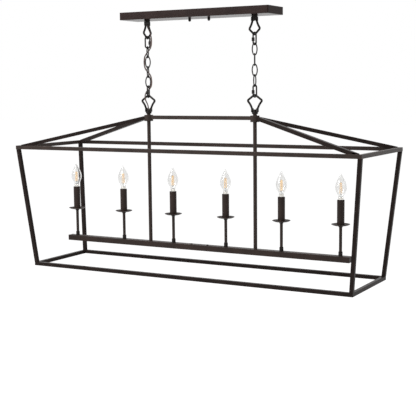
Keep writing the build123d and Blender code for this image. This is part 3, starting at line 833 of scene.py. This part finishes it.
# ------------------------------------------------------------------ bulbs
@dataclass
class CandleBulb:
    """A clear candle bulb, modelled once on the origin and copied to each candle.

    The origin is the middle of the glass's lower end. Sizes are in metres.
    """

    outline: Profile = (
        (8.4, 0.0), (8.5, 2.0), (9.3, 5.0), (11.4, 9.0), (13.95, 13.0), (16.1, 18.0),
        (17.3, 23.0), (17.6, 28.0), (17.3, 33.0), (16.5, 37.5), (15.1, 42.0),
        (13.1, 47.0), (10.6, 52.0), (8.4, 56.0), (6.3, 60.0), (4.8, 63.0),
        (3.5, 65.6), (2.7, 67.4), (2.2, 68.5), (1.7, 69.3), (0.9, 69.85),
    )
    glass_sides: int = 48
    glass_wall: float = 0.8 * MM
    tip_height: float = 0.15 * MM
    collar_radius: float = 7.8 * MM
    collar_height: float = 11.7 * MM
    collar_sides: int = 40
    collar_profile: Profile = (
        (0.9, 0.0), (0.3, 0.4), (0.0, 1.2), (0.0, 6.6), (0.5, 7.2), (0.5, 8.0),
        (0.0, 8.6), (0.0, 10.6), (0.25, 11.3), (0.9, 11.65),
    )
    shell_radius: float = 5.9 * MM
    shell_length: float = 15.0 * MM
    seed_radius: float = 0.0001
    thread_pitch: float = 2.54 * MM
    thread_depth: float = 0.6 * MM
    thread_turns: int = 5
    thread_steps: int = 8
    thread_sides: int = 32
    insulator_flare: float = 1.4 * MM
    insulator_inset: float = 0.7 * MM
    insulator_rises: tuple[float, float, float] = (0.4, 1.2, 2.4)
    insulator_sides: int = 32
    contact_radius: float = 2.6 * MM
    contact_height: float = 2.2 * MM
    contact_root: float = 0.5 * MM
    contact_profile: Profile = ((0.35, 0.0), (0.75, 0.35), (0.95, 0.9), (1.0, 1.5))
    stem_radius: float = 3.6 * MM
    stem_height: float = 9.4 * MM
    stem_flare: float = 2.6 * MM
    stem_gap: float = 0.1 * MM
    stem_profile: Profile = ((1.0, 1.4), (0.8, 4.0), (0.62, 7.0))
    stem_head: float = 0.66
    small_sides: int = 24
    strip_count: int = 4
    strip_radius: float = 0.75 * MM
    strip_length: float = 32.0 * MM
    strip_foot: float = 4.3 * MM
    strip_head: float = 2.5 * MM
    strip_base: float = 11.0 * MM
    strip_sides: int = 12
    rod_softness: float = 0.35
    stub_place: float = 1.1 * MM
    stub_depth: float = 2.2 * MM
    wire_lap: float = 0.3 * MM
    wire_sides: int = 8
    elbow_wire: float = 0.24 * MM
    crown_wire: float = 0.22 * MM
    crown_height: float = 1.6 * MM
    post_wire: float = 0.26 * MM
    post_depth: float = 2.0 * MM
    post_height: float = 1.8 * MM
    spins: tuple[float, ...] = (28.0, 31.0, 44.0, 62.0, 35.0, 71.0)
    parts: dict[str, bpy.types.Object] = field(default_factory=dict)

    def envelope(self) -> bpy.types.Object:
        """The blown glass: rings up to a pip, with a wall of its real thickness.

        Returns:
            The glass.
        """
        rings = [(radius * MM, level * MM) for radius, level in self.outline]
        piece = turn_rings(rings, self.glass_sides, close_top=False, close_base=False)
        bpy.ops.mesh.extrude_edges_move(
            TRANSFORM_OT_translate={"value": (0, 0, self.tip_height)}
        )
        bpy.ops.mesh.merge(type="CENTER")
        settle(piece, "bulb_glass", smooth=80.0)
        wall = piece.modifiers.new("wall", "SOLIDIFY")
        wall.thickness = self.glass_wall
        wall.offset = -1.0
        apply_modifiers(piece)
        bpy.ops.object.shade_smooth_by_angle(angle=math.radians(50))
        return piece

    def collar(self) -> bpy.types.Object:
        """The metal collar that grips the neck, crimped under a rolled lip.

        Returns:
            The collar.
        """
        low = -self.collar_height
        rings = [(self.shell_radius, low)]
        for inset, rise in self.collar_profile:
            rings.append((self.collar_radius - inset * MM, low + rise * MM))
        piece = turn_rings(rings, self.collar_sides, close_top=True, close_base=True)
        return settle(piece, "bulb_collar", smooth=35.0)

    def screw_shell(self) -> bpy.types.Object:
        """The screw shell: one pitch of the wave wound into a real helix.

        Returns:
            The threaded shell.
        """
        to_object_mode()
        length = self.thread_pitch * self.thread_turns
        low = -self.collar_height - length - self.thread_depth
        bpy.ops.mesh.primitive_circle_add(
            vertices=3, radius=self.seed_radius, fill_type="NOTHING", location=(0, 0, 0)
        )
        piece = bpy.context.object
        bpy.ops.object.mode_set(mode="EDIT")
        bpy.ops.mesh.select_all(action="SELECT")
        bpy.ops.mesh.merge(type="CENTER")
        start = self.shell_radius
        bpy.ops.transform.translate(value=(start, 0, low))
        before = Vector((start, 0, low))
        for step in range(1, self.thread_steps + 1):
            share = step / self.thread_steps
            wave = 0.5 * (1 - math.cos(share * math.tau)) * self.thread_depth
            after = Vector((start - wave, 0, low + share * self.thread_pitch))
            bpy.ops.mesh.extrude_vertices_move(
                TRANSFORM_OT_translate={"value": tuple(after - before)}
            )
            before = after
        bpy.ops.object.mode_set(mode="OBJECT")
        screw = piece.modifiers.new("thread", "SCREW")
        screw.axis = "Z"
        screw.angle = math.tau
        screw.screw_offset = self.thread_pitch
        screw.iterations = self.thread_turns - 1
        screw.steps = screw.render_steps = self.thread_sides
        screw.use_merge_vertices = True
        apply_modifiers(piece)
        return settle(piece, "bulb_thread", smooth=60.0)

    def insulator(self) -> bpy.types.Object:
        """The dark glass cone under the shell that holds the contact.

        Returns:
            The insulator.
        """
        base = -self.collar_height - self.shell_length
        foot, flare, rim = (base + rise * MM for rise in self.insulator_rises)
        wide = self.shell_radius - self.insulator_inset
        rings = (
            (self.contact_radius, foot),
            (self.contact_radius + self.insulator_flare, flare),
            (wide, rim),
            (wide, -self.collar_height),
        )
        piece = turn_rings(rings, self.insulator_sides, close_top=True, close_base=True)
        return settle(piece, "bulb_insulator", smooth=35.0)

    def contact(self) -> bpy.types.Object:
        """The rounded solder button at the very bottom.

        Returns:
            The contact.
        """
        base = -self.collar_height - self.shell_length - self.contact_height
        wide = self.contact_radius
        rings = [(share * wide, base + rise * MM) for share, rise in self.contact_profile]
        rings.append((wide, base + self.contact_height + self.contact_root))
        piece = turn_rings(rings, self.small_sides, close_top=True, close_base=True)
        return settle(piece, "bulb_contact", smooth=60.0)

    def glass_stem(self) -> bpy.types.Object:
        """The pressed glass foot that the filaments stand on.

        Returns:
            The stem.
        """
        rings = [(self.stem_radius + self.stem_flare, self.stem_gap)]
        for share, level in self.stem_profile:
            rings.append((self.stem_radius * share, level * MM))
        rings.append((self.stem_radius * self.stem_head, self.stem_height))
        piece = turn_rings(rings, self.small_sides, close_top=True, close_base=True)
        return settle(piece, "bulb_stem", smooth=60.0)

    def rod(self, foot: Vector, head: Vector, radius: float, sides: int) -> bpy.types.Object:
        """A round bar between two places, with softened ends.

        Args:
            foot: The middle of one end.
            head: The middle of the other end.
            radius: The bar's radius.
            sides: The number of sides.

        Returns:
            The bar.
        """
        to_object_mode()
        along = head - foot
        bpy.ops.mesh.primitive_cylinder_add(
            vertices=sides,
            radius=radius,
            depth=along.length,
            location=(foot + head) / 2,
            rotation=along.to_track_quat("Z", "Y").to_euler(),
        )
        piece = bpy.context.object
        bpy.ops.object.mode_set(mode="EDIT")
        bpy.ops.mesh.select_all(action="SELECT")
        bpy.ops.mesh.bevel(
            offset=radius * self.rod_softness, segments=2, affect="EDGES"
        )
        bpy.ops.object.mode_set(mode="OBJECT")
        return piece

    def quarter(self, turn: int) -> Matrix:
        """The rotation that carries the first filament to another."""
        return Matrix.Rotation(turn * math.tau / self.strip_count, 3, "Z")

    def strips(self) -> bpy.types.Object:
        """Four coated filaments that lean in towards the top.

        Returns:
            The filaments as one object.
        """
        rods = []
        top = self.strip_base + self.strip_length
        for turn in range(self.strip_count):
            around = self.quarter(turn)
            foot = around @ Vector((self.strip_foot, 0, self.strip_base))
            head = around @ Vector((self.strip_head, 0, top))
            rods.append(self.rod(foot, head, self.strip_radius, self.strip_sides))
        return settle(join(rods), "bulb_filaments", smooth=50.0)

    def supports(self) -> bpy.types.Object:
        """The fine wires that hold and feed the filaments.

        Returns:
            The wires and their middle post as one object.
        """
        wires = []
        top = self.strip_base + self.strip_length
        crown = Vector((0, 0, top + self.crown_height))
        for turn in range(self.strip_count):
            around = self.quarter(turn)
            stub = around @ Vector((self.stub_place, 0, self.stem_height - self.stub_depth))
            elbow = around @ Vector((self.strip_foot, 0, self.strip_base + self.wire_lap))
            wires.append(self.rod(stub, elbow, self.elbow_wire, self.wire_sides))
            head = around @ Vector((self.strip_head, 0, top - self.wire_lap))
            wires.append(self.rod(head, crown, self.crown_wire, self.wire_sides))
        foot = Vector((0, 0, self.stem_height - self.post_depth))
        peak = Vector((0, 0, top + self.post_height))
        wires.append(self.rod(foot, peak, self.post_wire, self.wire_sides))
        return settle(join(wires), "bulb_supports", smooth=50.0)

    def build(self, shelf: FinishShelf) -> None:
        """Makes each part once, on the origin, and paints it.

        Args:
            shelf: Where the materials come from.
        """
        made = (
            (self.envelope(), CLEAR_GLASS, "glass"),
            (self.collar(), NICKEL, "collar"),
            (self.screw_shell(), NICKEL, "thread"),
            (self.insulator(), SOCKET_BLACK, "insulator"),
            (self.contact(), SOLDER, "contact"),
            (self.glass_stem(), STEM_GLASS, "stem"),
            (self.strips(), PHOSPHOR, "filaments"),
            (self.supports(), LEAD_WIRE, "supports"),
        )
        for piece, finish, name in made:
            paint(piece, shelf.get(finish))
            self.parts[name] = piece

    def place(self) -> None:
        """Copies the parts to the six candles and takes the first ones away."""
        slots = {"glass": "bulb_clear", "stem": "bulb_clear", "insulator": "socket_plastic"}
        for number, spin in enumerate(self.spins, start=1):
            low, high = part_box(f"bulb_{number}_glass")
            foot = Vector(((low.x + high.x) / 2, (low.y + high.y) / 2, low.z))
            for name, piece in self.parts.items():
                copy = copy_to(piece, f"bulb_{number}_{name}_piece", foot, math.radians(spin))
                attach(copy, f"bulb_{number}")
                slots.get(name, "bulb_metal")
                target = "glass" if name == "glass" else "base"
                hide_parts(f"bulb_{number}_{target}")
            log.info("bulb %d stands at x %.4f", number, foot.x)
        for piece in self.parts.values():
            bpy.data.objects.remove(piece)


# ------------------------------------------------------------------ cords in the chain
@dataclass(frozen=True)
class Bend:
    """Where a cord turns from one body to the next, along the chain's axis."""

    upper: str
    lower: str
    start: float
    end: float


@dataclass
class ChainCord:
    """A cord that runs from the canopy down through the left chain to the cage."""

    name: str
    node: str
    slot: str
    finish: Finish
    radius: float
    route: Route
    axis_x: float = -0.195
    cuts: tuple[float, float] = (-0.0965, -0.1600)
    bends: tuple[Bend, Bend, Bend] = (
        Bend("root", "left_hanger", -0.063, -0.0955),
        Bend("left_hanger", "left_chain", -0.0975, -0.1245),
        Bend("left_chain", "cage", -0.256, -0.291),
    )
    steps: int = 10
    round_steps: int = 4
    order: int = 3

    def run(self) -> bpy.types.Object:
        """The whole cord as one smooth tube on the route.

        Returns:
            A mesh object.
        """
        to_object_mode()
        curve = bpy.data.curves.new(self.name, "CURVE")
        curve.dimensions = "3D"
        curve.resolution_u = self.steps
        curve.bevel_depth = self.radius
        curve.bevel_resolution = self.round_steps
        curve.use_fill_caps = True
        spline = curve.splines.new("NURBS")
        spline.points.add(len(self.route) - 1)
        for point, (x, y, z) in zip(spline.points, self.route):
            point.co = (self.axis_x + x * MM, y * MM, z * MM, 1.0)
        spline.order_u = self.order
        spline.use_endpoint_u = True
        piece = bpy.data.objects.new(self.name, curve)
        bpy.context.scene.collection.objects.link(piece)
        pick(piece)
        bpy.ops.object.convert(target="MESH")
        return bpy.context.object

    def slice(
        self, whole: bpy.types.Object, top: float | None, foot: float | None, name: str
    ) -> bpy.types.Object:
        """A copy of the cord between two heights, its cuts closed.

        Args:
            whole: The whole cord.
            top: The height of the upper cut, or None for no cut.
            foot: The height of the lower cut, or None for no cut.
            name: The new piece's name.

        Returns:
            The length of cord.
        """
        piece = copy_to(whole, name, Vector((0, 0, 0)), 0.0)
        for level, above in ((top, False), (foot, True)):
            if level is None:
                continue
            edit(piece)
            bpy.ops.mesh.select_all(action="SELECT")
            bpy.ops.mesh.bisect(
                plane_co=(self.axis_x, 0, level),
                plane_no=(0, 0, 1),
                use_fill=True,
                clear_outer=not above,
                clear_inner=above,
            )
        return settle(piece, name, smooth=60.0)

    def build(self, shelf: FinishShelf) -> None:
        """Makes the three lengths of the cord.

        Args:
            shelf: Where the materials come from.
        """
        whole = self.run()
        upper_cut, lower_cut = self.cuts
        spans = ((None, upper_cut), (upper_cut, lower_cut), (lower_cut, None))
        for part, (span, bend) in enumerate(zip(spans, self.bends), start=1):
            piece = self.slice(whole, *span, f"{self.name}_length_{part}")
            paint(piece, shelf.get(self.finish))
            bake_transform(piece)
            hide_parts(self.node)
            log.info("%s bends between %s and %s", piece.name, bend.upper, bend.lower)
        bpy.data.objects.remove(whole)


SUPPLY_ROUTE: Route = (
    (44, -3.0, -13.0), (28, -1.5, -7.0), (13, -1.2, -3.2), (0, -1.2, -11.0),
    (0.1, -1.2, -44.0), (7.5, -1.2, -56.0), (13.5, -1.2, -70.0), (15.5, -1.4, -84.0),
    (14.8, -1.4, -102.0), (10.5, -1.2, -118.0), (-10.0, -1.2, -136.0),
    (-13.8, -1.4, -153.0), (-13.6, -1.2, -166.0), (-10.2, -1.2, -182.0),
    (10.0, -1.2, -200.0), (13.9, -1.2, -217.0), (13.6, -1.4, -230.0),
    (9.0, -0.2, -243.5), (-8.0, -0.6, -255.5), (-9.2, -7.4, -268.0),
    (-6.5, -8.0, -282.0), (-1.0, -3.0, -297.0), (0.1, -1.2, -309.0), (0, -1.2, -324.0),
)
GROUND_ROUTE: Route = (
    (176.2, 2.2, -4.6), (160.0, 9.0, -8.5), (126.0, 8.4, -13.5), (86.0, 5.6, -14.5),
    (46.0, 3.6, -11.0), (12.0, 2.2, -5.2), (0, 2.2, -13.5), (0.1, 2.2, -43.0),
    (6.2, 2.4, -56.0), (12.4, 2.6, -70.0), (15.4, 2.6, -86.0), (14.9, 2.3, -104.0),
    (10.2, 2.2, -117.0), (-10.2, 2.2, -135.0), (-13.6, 2.0, -152.0),
    (-13.9, 2.2, -166.0), (-10.6, 2.2, -181.0), (9.6, 2.2, -199.5),
    (13.8, 2.2, -216.0), (13.9, 2.0, -230.0), (9.4, 2.9, -243.0), (-9.2, 2.5, -256.0),
    (-12.6, -4.2, -268.0), (-10.0, -5.2, -283.0), (-3.6, 0.4, -297.0),
    (0.1, 2.2, -309.0), (0, 2.2, -324.0),
)


# ------------------------------------------------------------------ studio
@dataclass(frozen=True)
class Softbox:
    """A square lamp, placed by its angle from the camera's side and its height."""

    name: str
    turn: float
    height: float
    distance: float
    width: float
    power: float


@dataclass
class Studio:
    """A white studio: pale floor, soft lamps and the photograph's camera."""

    azimuth: float = 29.286
    elevation: float = 7.091
    roll: float = -0.56
    lens: float = 84.39
    distance: float = 3.15
    offset: Point = (0.020448, 0.008484, -0.629135)
    sensor_width: float = 36.0
    floor_level: float = -1.62
    floor_size: float = 60.0
    floor_colour: Colour = (0.80, 0.80, 0.80)
    floor_lift: float = 0.01
    floor_cloud: float = 2.0
    floor_roughness: float = 0.9
    floor_stops: tuple[float, float] = (0.4, 0.6)
    floor_glow: float = 0.68
    fill: float = 0.42
    lamps: tuple[Softbox, ...] = (
        Softbox("left_softbox", -62.0, 30.0, 2.6, 1.4, 52.0),
        Softbox("right_softbox", 56.0, 14.0, 3.2, 1.2, 8.0),
        Softbox("top_softbox", -12.0, 74.0, 2.6, 1.4, 26.0),
    )
    target: Point = (0.0, 0.0, -0.5)

    def back(self, azimuth: float, elevation: float) -> Vector:
        """The direction from the object towards a viewer.

        Args:
            azimuth: The viewer's angle about Z, in degrees from the front.
            elevation: The viewer's angle above level, in degrees.

        Returns:
            A vector of length 1.
        """
        a, e = math.radians(azimuth), math.radians(elevation)
        return Vector(
            (math.sin(a) * math.cos(e), -math.cos(a) * math.cos(e), math.sin(e))
        )

    def seen_white(self, tree: bpy.types.NodeTree) -> bpy.types.NodeSocket:
        """What is seen directly, in a reflection or through glass.

        Args:
            tree: The node tree to work in.

        Returns:
            An output that is 1 for such a ray and 0 for light alone.
        """
        path = tree.nodes.new("ShaderNodeLightPath")
        total = path.outputs["Is Camera Ray"]
        for ray in ("Is Glossy Ray", "Is Transmission Ray"):
            pair = tree.nodes.new("ShaderNodeMath")
            pair.operation = "MAXIMUM"
            tree.links.new(total, pair.inputs[0])
            tree.links.new(path.outputs[ray], pair.inputs[1])
            total = pair.outputs["Value"]
        return total

    def build_world(self) -> None:
        """A white surround to look at, and a softer one to light by."""
        world = bpy.data.worlds.new("studio_surround")
        bpy.context.scene.world = world
        world.use_nodes = True
        tree = world.node_tree
        background = tree.nodes["Background"]
        background.inputs["Color"].default_value = WHITE
        level = tree.nodes.new("ShaderNodeMapRange")
        level.inputs["To Min"].default_value = self.fill
        level.inputs["To Max"].default_value = 1.0
        tree.links.new(self.seen_white(tree), level.inputs["Value"])
        tree.links.new(level.outputs["Result"], background.inputs["Strength"])

    def build_floor(self) -> None:
        """A pale floor that keeps the shadow and melts into the surround."""
        to_object_mode()
        bpy.ops.mesh.primitive_plane_add(
            size=self.floor_size, location=(0, 0, self.floor_level)
        )
        floor = bpy.context.object
        floor.name = "studio_floor"
        graph = Graph("pale_floor")
        cloud = graph.noise(self.floor_cloud, FINE_DETAIL)
        pale = tuple(part + self.floor_lift for part in self.floor_colour)
        tones = tuple(zip(self.floor_stops, (self.floor_colour, pale)))
        graph.drive(graph.ramp(cloud, tones), Channel.COLOUR)
        graph.constants(Roughness=self.floor_roughness, Specular_IOR_Level=0.0)
        graph.shader.inputs["Emission Color"].default_value = WHITE
        glow = graph.add("ShaderNodeMath", operation="MULTIPLY")
        glow.inputs[1].default_value = self.floor_glow
        graph.link(self.seen_white(graph.tree), glow.inputs[0])
        graph.link(glow.outputs["Value"], graph.shader.inputs["Emission Strength"])
        paint(floor, graph.material)

    def build_lamps(self) -> None:
        """Soft square lamps that face the middle of the cage."""
        for lamp in self.lamps:
            light = bpy.data.lights.new(lamp.name, "AREA")
            light.energy = lamp.power
            light.size = lamp.width
            holder = bpy.data.objects.new(lamp.name, light)
            bpy.context.scene.collection.objects.link(holder)
            away = self.back(self.azimuth + lamp.turn, lamp.height)
            holder.location = Vector(self.target) + away * lamp.distance
            holder.rotation_euler = away.to_track_quat("Z", "Y").to_euler()

    def build_camera(self) -> None:
        """The photograph's camera: its place, lens and slight roll."""
        back = self.back(self.azimuth, self.elevation)
        a = math.radians(self.azimuth)
        right = Vector((math.cos(a), math.sin(a), 0))
        up = back.cross(right)
        r = math.radians(self.roll)
        tilted_right = right * math.cos(r) + up * math.sin(r)
        tilted_up = up * math.cos(r) - right * math.sin(r)
        data = bpy.data.cameras.new("photo_camera")
        data.lens = self.lens
        data.sensor_width = self.sensor_width
        camera = bpy.data.objects.new("photo_camera", data)
        bpy.context.scene.collection.objects.link(camera)
        pose = Matrix((tilted_right, tilted_up, back)).transposed().to_4x4()
        pose.translation = back * self.distance + Vector(self.offset)
        camera.matrix_world = pose
        bpy.context.scene.camera = camera

    def build(self) -> None:
        """Builds the studio and sets how its picture is developed."""
        self.build_camera()
        self.build_world()
        self.build_floor()
        self.build_lamps()
        bpy.context.scene.view_settings.view_transform = "Standard"
        log.info("studio stands, with %d lamps", len(self.lamps))


def main() -> None:
    """Loads the frame, then builds and dresses each sub-assembly in order."""
    logging.basicConfig(level=logging.INFO, format="%(name)s: %(message)s")
    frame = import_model()
    shelf = FinishShelf()
    Studio().build()
    cords = (
        ChainCord(
            "supply_run", "supply_cord", "cord_jacket", CORD_BROWN, 2.0 * MM, SUPPLY_ROUTE
        ),
        ChainCord(
            "ground_run", "ground_wire", "ground_copper", GROUND_WIRE, 0.9 * MM, GROUND_ROUTE
        ),
    )
    for cord in cords:
        cord.build(shelf)
    for work in (Canopy(), Chains(), Cage(), LightBar(), Candles()):
        work.dress(frame["nodes"], shelf)
    bulb = CandleBulb()
    bulb.build(shelf)
    bulb.place()


if __name__ == "__main__":
    main()
